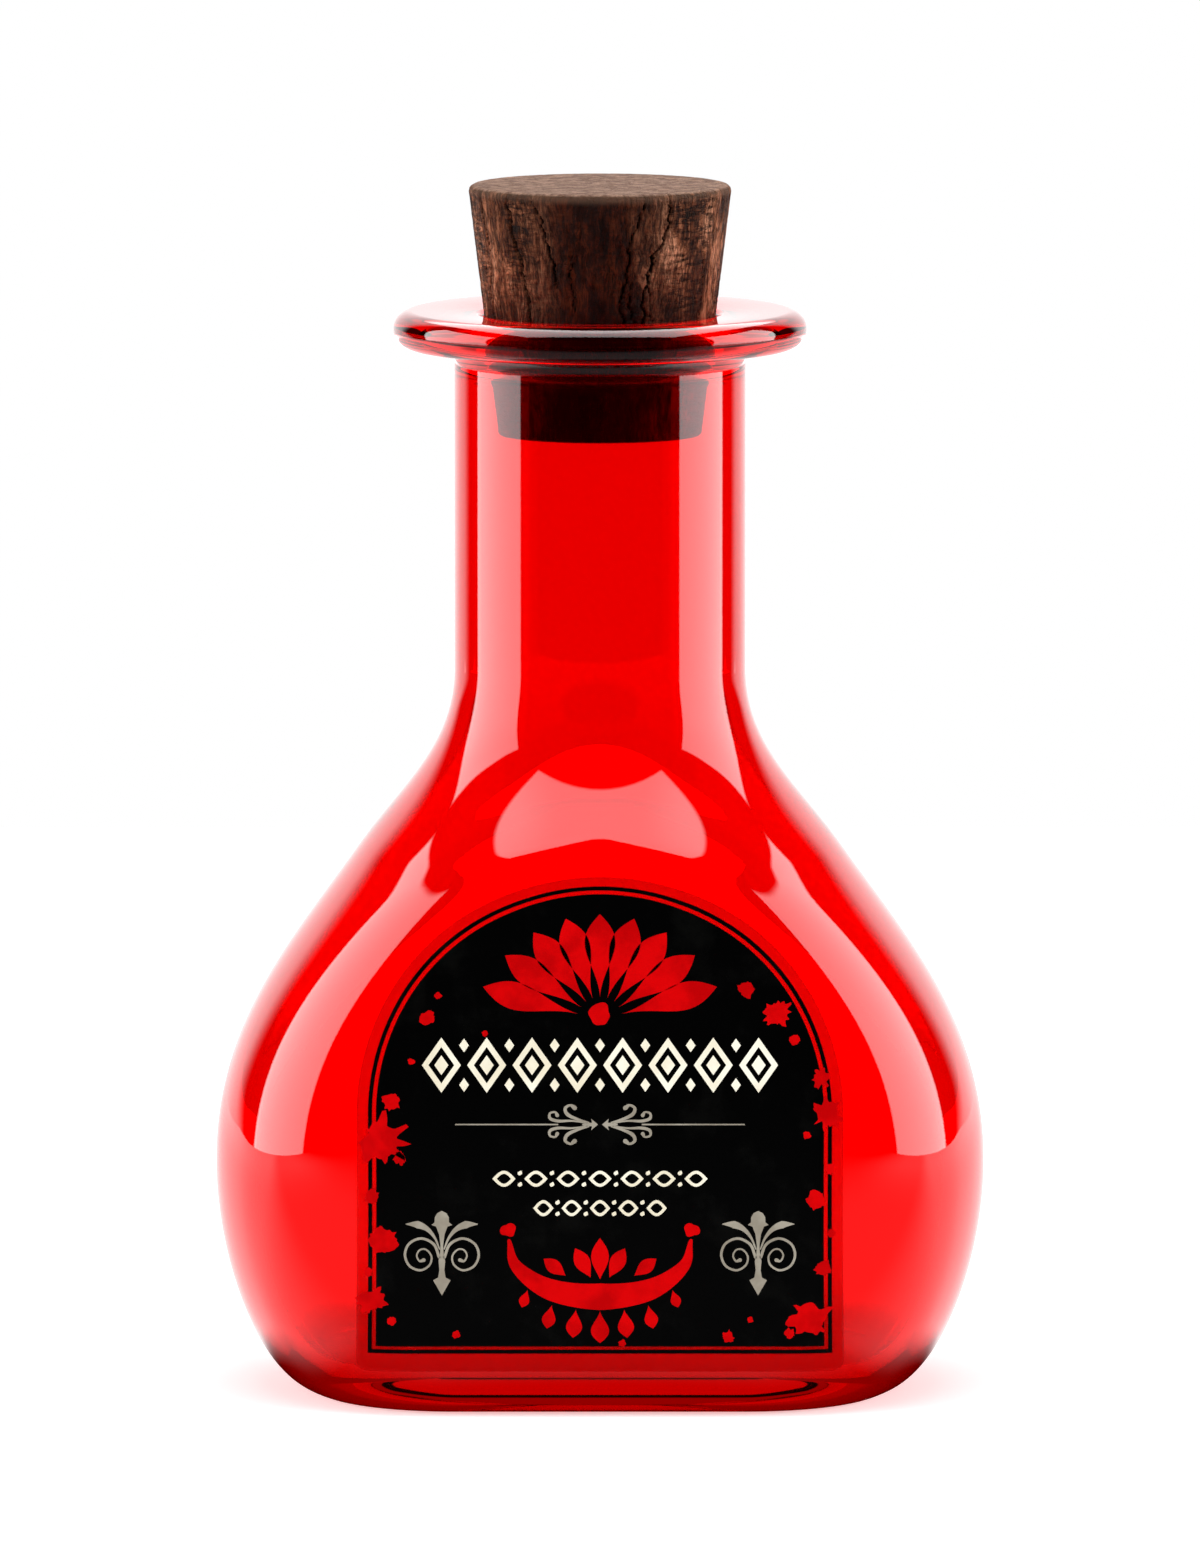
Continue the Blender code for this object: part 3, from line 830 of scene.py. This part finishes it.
STEM = ((0.14, 18.9), (0.2, 17.9), (0.36, 17.2), (0.27, 16.2), (0.4, 15.4), (0.94, 15.1), (0.0, 13.45))
VOLUTE = (
    (0.28, 17.6), (0.86, 19.0), (2.2, 19.65), (3.5, 19.1), (3.98, 17.9), (3.5, 16.68), (2.34, 16.19),
    (1.35, 16.73), (1.12, 17.68), (1.67, 18.42), (2.34, 18.42), (2.7, 17.82), (2.42, 17.2), (1.95, 17.3),
)  # fmt: skip
FEATHER = ((0.25, 18.5), (0.75, 19.7), (1.55, 20.65), (2.6, 21.15), (3.85, 21.22))
# How wide the strokes are at their points
LONG_SCROLL_WIDTHS = (0.12, 0.3, 0.4, 0.34, 0.24, 0.5)
LOW_SCROLL_WIDTHS = (0.1, 0.2, 0.32, 0.34, 0.24, 0.2, 0.42)
VOLUTE_WIDTHS = (0.3, 0.3, 0.27, 0.27, 0.27, 0.26, 0.24, 0.22, 0.2, 0.19, 0.18, 0.18, 0.2, 0.42)
FEATHER_WIDTHS = (0.14, 0.26, 0.5, 0.82, 0.1)

grey_shapes = []
right_half = BUD[::-1] + STEM[1:]
whole_stem = right_half + tuple((-x, z) for x, z in right_half[-2:0:-1])
for side in (-1, 1):
    grey_shapes.append(laid(RULE, 0, RULE_HEIGHT, 0, side))
    grey_shapes.append(laid(ARROW, 0, RULE_HEIGHT, 0, side))
    for half in (-1, 1):
        for scroll, widths in ((LONG_SCROLL, LONG_SCROLL_WIDTHS), (LOW_SCROLL, LOW_SCROLL_WIDTHS)):
            scroll = pen_stroke(np.array(scroll) * (1, half), widths)
            grey_shapes.append(laid(scroll, 0, RULE_HEIGHT, 0, side))
    grey_shapes.append(laid(whole_stem, PALMETTE_MIDDLE, 0, 0, side))
    for half in (-1, 1):
        for curl, widths in ((VOLUTE, VOLUTE_WIDTHS), (FEATHER, FEATHER_WIDTHS)):
            curl = pen_stroke(np.array(curl) * (half, 1), widths)
            grey_shapes.append(laid(curl, PALMETTE_MIDDLE, 0, 0, side))

grey_ink = ink_finish("warm_grey_ink", (0.27, 0.24, 0.19, 1), (0.36, 0.33, 0.27, 1), 330.0)
grey_sheets = printed([(outline, ()) for outline in grey_shapes], INK_FRONT, OVER_INK)
grey_print = finished("label_grey_print", grey_sheets, grey_ink)
grey_print.data.set_sharp_from_angle(angle=SHEET_EDGE)
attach(grey_print, "bottle")

# Cream print. Pale ink, screen printed over the black: a bold row of lozenges across the middle of the field,
# and two thin rows of almonds and dots under the rule.

LOZENGES = 8
LOZENGE_PITCH = 4.88
LOZENGE_HEIGHT = 38.5
LOZENGE = np.array(((0, -3), (2.1, 0), (0, 3), (-2.1, 0)), float)
# Each row of almonds: how many, their pitch, height and length in mm
ALMOND_ROWS = ((7, 3.45, 26.15, 2.5), (5, 3.05, 22.95, 2.2))

cream_shapes = []
for step in range(LOZENGES):
    x = (step - (LOZENGES - 1) / 2) * LOZENGE_PITCH
    inside = laid(LOZENGE * 0.66, x, LOZENGE_HEIGHT)
    cream_shapes.append((laid(LOZENGE, x, LOZENGE_HEIGHT), (inside,)))
    cream_shapes.append((laid(LOZENGE * 0.36, x, LOZENGE_HEIGHT), ()))
    if step < LOZENGES - 1:
        for z in (36.35, 40.65):
            cream_shapes.append((laid(LOZENGE * 0.25, x + LOZENGE_PITCH / 2, z), ()))
for count, pitch, z, length in ALMOND_ROWS:
    for step in range(count):
        x = (step - (count - 1) / 2) * pitch
        almond = leaf_shape(length, 1.75, 0.5, 14)
        inside = laid(almond * 0.62, x - length * 0.31, z, 90)
        cream_shapes.append((laid(almond, x - length / 2, z, 90), (inside,)))
        if step < count - 1:
            for over in (-0.62, 0.62):
                cream_shapes.append((laid(blot_shape(0.24, 1, 0, 16), x + pitch / 2, z + over), ()))

cream_ink = ink_finish("cream_ink", (0.93, 0.9, 0.76, 1), (0.8, 0.74, 0.57, 1), 130.0)
cream_print = finished("label_cream_print", printed(cream_shapes, INK_FRONT, OVER_INK), cream_ink)
cream_print.data.set_sharp_from_angle(angle=SHEET_EDGE)
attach(cream_print, "bottle")

# Floor. A pale, matt sheet under the bottle, bright enough to run into the white behind it. A shadow is painted
# into it round the foot, and it has a strength of its own where the glass mirrors it or shows it through.

FLOOR_DROP = 0.00005
FLOOR_HALF_WIDTH = 0.52
FLOOR_FRONT = -0.3
FLOOR_BACK = 0.5
# Half width and half depth of the oval round the foot, in which distances from the bottle are counted
FOOT_OVAL = (0.036, 0.024)
# How bright the floor is under the bottle, in its painted shadow, and how much more far from it, seen directly
# and through the glass
SEEN_DIRECTLY = (0.46, 0.64)
SEEN_THROUGH_GLASS = (0.42, 0.68)


def passed_through(ray):
    """1 for rays that have come through the glass or been thrown about inside it, 0 for all others."""
    return ray.sum("MAXIMUM", ray.out("Is Transmission Ray"), thrown_about(ray))


floor_mesh = bpy.data.meshes.new("floor")
sides, ends = (-FLOOR_HALF_WIDTH, FLOOR_HALF_WIDTH), (FLOOR_FRONT, FLOOR_BACK)
floor_mesh.from_pydata([(x, y, -FLOOR_DROP) for y in ends for x in sides], [], [(0, 1, 3, 2)])
floor = bpy.data.objects.new("floor", floor_mesh)
bpy.context.scene.collection.objects.link(floor)

pale_floor, pale = new_finish("pale_floor")
floor_place = pale.node("ShaderNodeNewGeometry").out("Position")
sideways = pale.node("ShaderNodeSeparateXYZ", {}, {0: floor_place})
backward = sideways.out("Y")
from_middle = ((sideways / FOOT_OVAL[0]) ** 2 + (backward / FOOT_OVAL[1]) ** 2) ** 0.5
floor_ray = pale.node("ShaderNodeLightPath")
direct = floor_ray.out("Is Camera Ray")
through_glass = passed_through(floor_ray)
only_mirrored = floor_ray.out("Is Glossy Ray") * (1 - through_glass)
# Painted shadow: the floor's own strength is low round the foot and rises away from it
out_of_painted_shadow = from_middle.rising(1.5, 4.5)
at_the_sides = abs(sideways)
# Painted shadow and reflection: where the glass mirrors the floor, it is dark round the foot, though less so
# close beside it at the sides, dark far in front of the bottle, and paler behind it and at the sides
paler = 0.3 + backward.rising(-0.05, 0.01) + 0.4 * at_the_sides.rising(0.12, 0.35)
farther = paler * backward.rising(-0.31, -0.12)
beside = at_the_sides.rising(0.032, 0.042) * from_middle.rising(1.02, 1.4)
mirrored = only_mirrored * pale.sum("MAXIMUM", from_middle.rising(1.15, 2.2), beside) * farther
seen_directly = direct * (SEEN_DIRECTLY[0] + SEEN_DIRECTLY[1] * out_of_painted_shadow)
seen_in_glass = through_glass * (SEEN_THROUGH_GLASS[0] + SEEN_THROUGH_GLASS[1] * out_of_painted_shadow)
matt = pale.node("ShaderNodeBsdfDiffuse", {}, {"Color": (0.8, 0.8, 0.8, 1)})
lit = pale.node("ShaderNodeEmission", {}, {"Strength": seen_directly + seen_in_glass})
both = pale.node("ShaderNodeAddShader", {}, {0: matt, 1: lit})
mirror_only = pale.node("ShaderNodeEmission", {}, {"Strength": mirrored})
laid_floor = pale.node("ShaderNodeMixShader", {}, {"Fac": only_mirrored, 1: both, 2: mirror_only})
pale.node("ShaderNodeOutputMaterial", {}, {"Surface": laid_floor})
floor_mesh.materials.append(pale_floor)

# Studio. White behind the bottle, two tall soft boxes at its sides, a flat one above it, and darkness where the
# glass mirrors the camera's side. Seen straight through the glass, that side is white too. Large lamps at the
# places of the boxes light the wood, the print and the floor.

studio = bpy.data.worlds.new("studio")
bpy.context.scene.world = studio
studio.use_nodes = True
studio.node_tree.nodes.clear()
air = Wire(studio.node_tree)
# Where a ray goes, in degrees: turned from the camera's side (0) past the side (90) to the back (180), and risen
towards = air.node("ShaderNodeSeparateXYZ", {}, {0: air.node("ShaderNodeTexCoord").out("Generated")})
to_side, to_back, up = abs(towards), towards.out("Y"), towards.out("Z")
to_front = 0 - to_back
turned = air.sum("ARCTAN2", to_side, to_front) * (180 / math.pi)
risen = air.sum("ARCSINE", up, 0) * (180 / math.pi)

# The side boxes lean back a little as they rise. They glow more towards the back and less towards the top
side_box_start = 65.8 + 3.0 * risen.rising(-7, 30)
side_box_end = 113.4 + 5.4 * risen.rising(-8, 28)
side_box_top = 37.6 - 2.4 * (1 - turned.rising(62, 98))
across_box = (turned - side_box_start).rising(-0.7, 0.7) * (side_box_end - turned).rising(-0.9, 0.9)
above_floor = risen.rising(-7.7, -6.9)
below_top = 1 - (risen - side_box_top).rising(-0.6, 0.6)
side_box = across_box * above_floor * below_top
side_glow = (4.6 + (turned - 68) * 0.036) * (1 - 0.15 * risen.rising(12, 38))

# The box above ends in a straight edge at the front and at each side
HAIR = 0.0001
over_front = up / (to_front + HAIR)
over_side = up / (to_side + HAIR)
past_front_edge = air.sum("GREATER_THAN", to_front, 0) * (1 - over_front.rising(2.0, 2.14))
top_box = up.rising(0.42, 0.55) * (1 - past_front_edge) * over_side.rising(1.42, 1.5)
top_glow = 3.8 + 1.2 * turned.rising(40, 85)

# What the glass mirrors: the boxes, the white at the back and, below, a pale floor beyond the sheet
back_white = (turned - risen.rising(-6, 3) * 10).rising(126, 138)
back_glow = 1.2 + 0.25 * turned.rising(138, 155)
below_side = turned.rising(40, 90) * (1 - risen.rising(-9, -7.5))
mirrored_room = side_box * side_glow + top_box * top_glow + back_white * back_glow + below_side * 1.2

# What shows through the glass: the white at the back with a darker gap beside the boxes, the boxes, and white
# on the camera's side for rays that haven't been mirrored inside the wall
room_ray = air.node("ShaderNodeLightPath")
dark_gap = turned.rising(112, 118) * (1 - turned.rising(130, 138)) * risen.rising(-3, 3)
seen_behind = air.sum("GREATER_THAN", to_back, 0) * (1 - 0.45 * dark_gap)
seen_boxes = side_box * (1.6 - 1.2 * risen.rising(20, 30)) + top_box * 0.3 + below_side
unmirrored = 1 - air.sum("GREATER_THAN", room_ray.out("Glossy Depth"), 0.5)
seen_ahead = 0.09 + 0.85 * unmirrored * (1 - turned.rising(52, 64)) * (1 - abs(risen).rising(30, 40))
seen_through = air.sum("MAXIMUM", air.sum("MAXIMUM", seen_behind, seen_boxes), seen_ahead)

by_glass = passed_through(room_ray)
by_mirror = room_ray.out("Is Glossy Ray") * (1 - by_glass)
to_camera = room_ray.out("Is Camera Ray")
left_over = (1 - to_camera) * (1 - by_glass) * (1 - by_mirror)
room = to_camera + by_glass * seen_through + by_mirror * mirrored_room + left_over * 0.42
sky = air.node("ShaderNodeBackground", {}, {"Color": (1, 1, 1, 1), "Strength": room})
air.node("ShaderNodeOutputWorld", {}, {"Surface": sky})


def soft_lamp(name, place, aim, size, strength):
    """A large flat lamp for dull surfaces. In its place the glass mirrors the studio's box."""
    light = bpy.data.lights.new(name, "AREA")
    light.shape, light.size, light.energy = "SQUARE", size, strength
    lamp = bpy.data.objects.new(name, light)
    lamp.location = place
    lamp.rotation_euler = (Vector(aim) - Vector(place)).to_track_quat("-Z", "Y").to_euler()
    lamp.visible_camera = lamp.visible_transmission = lamp.visible_glossy = False
    bpy.context.scene.collection.objects.link(lamp)


soft_lamp("lamp_above", (0, -0.15, 0.8), (0, 0, 0.06), size=0.55, strength=3.0)
for name, side in (("lamp_left", -1), ("lamp_right", 1)):
    soft_lamp(name, (0.84 * side, -0.27, 0.24), (0, 0, 0.07), size=0.4, strength=6.4)

# Camera. Two metres in front of the bottle and a quarter of a metre above its middle, looking slightly down on
# it through a long lens.

CAMERA_DISTANCE = 2.0
CAMERA_RISE = math.radians(6.82)
CAMERA_AIM = Vector((0, 0, 0.0666))
SEEN_HEIGHT = 0.16946
SENSOR_HEIGHT = 36

lens = bpy.data.cameras.new("camera")
lens.sensor_fit = "VERTICAL"
lens.sensor_height = SENSOR_HEIGHT
lens.lens = SENSOR_HEIGHT * CAMERA_DISTANCE / SEEN_HEIGHT
lens.clip_end = 20
camera = bpy.data.objects.new("camera", lens)
away = Vector((0, -math.cos(CAMERA_RISE), math.sin(CAMERA_RISE)))
camera.location = CAMERA_AIM + CAMERA_DISTANCE * away
camera.rotation_euler = (math.pi / 2 - CAMERA_RISE, 0, 0)
bpy.context.scene.collection.objects.link(camera)
bpy.context.scene.camera = camera
bpy.context.scene.view_settings.view_transform = "Standard"
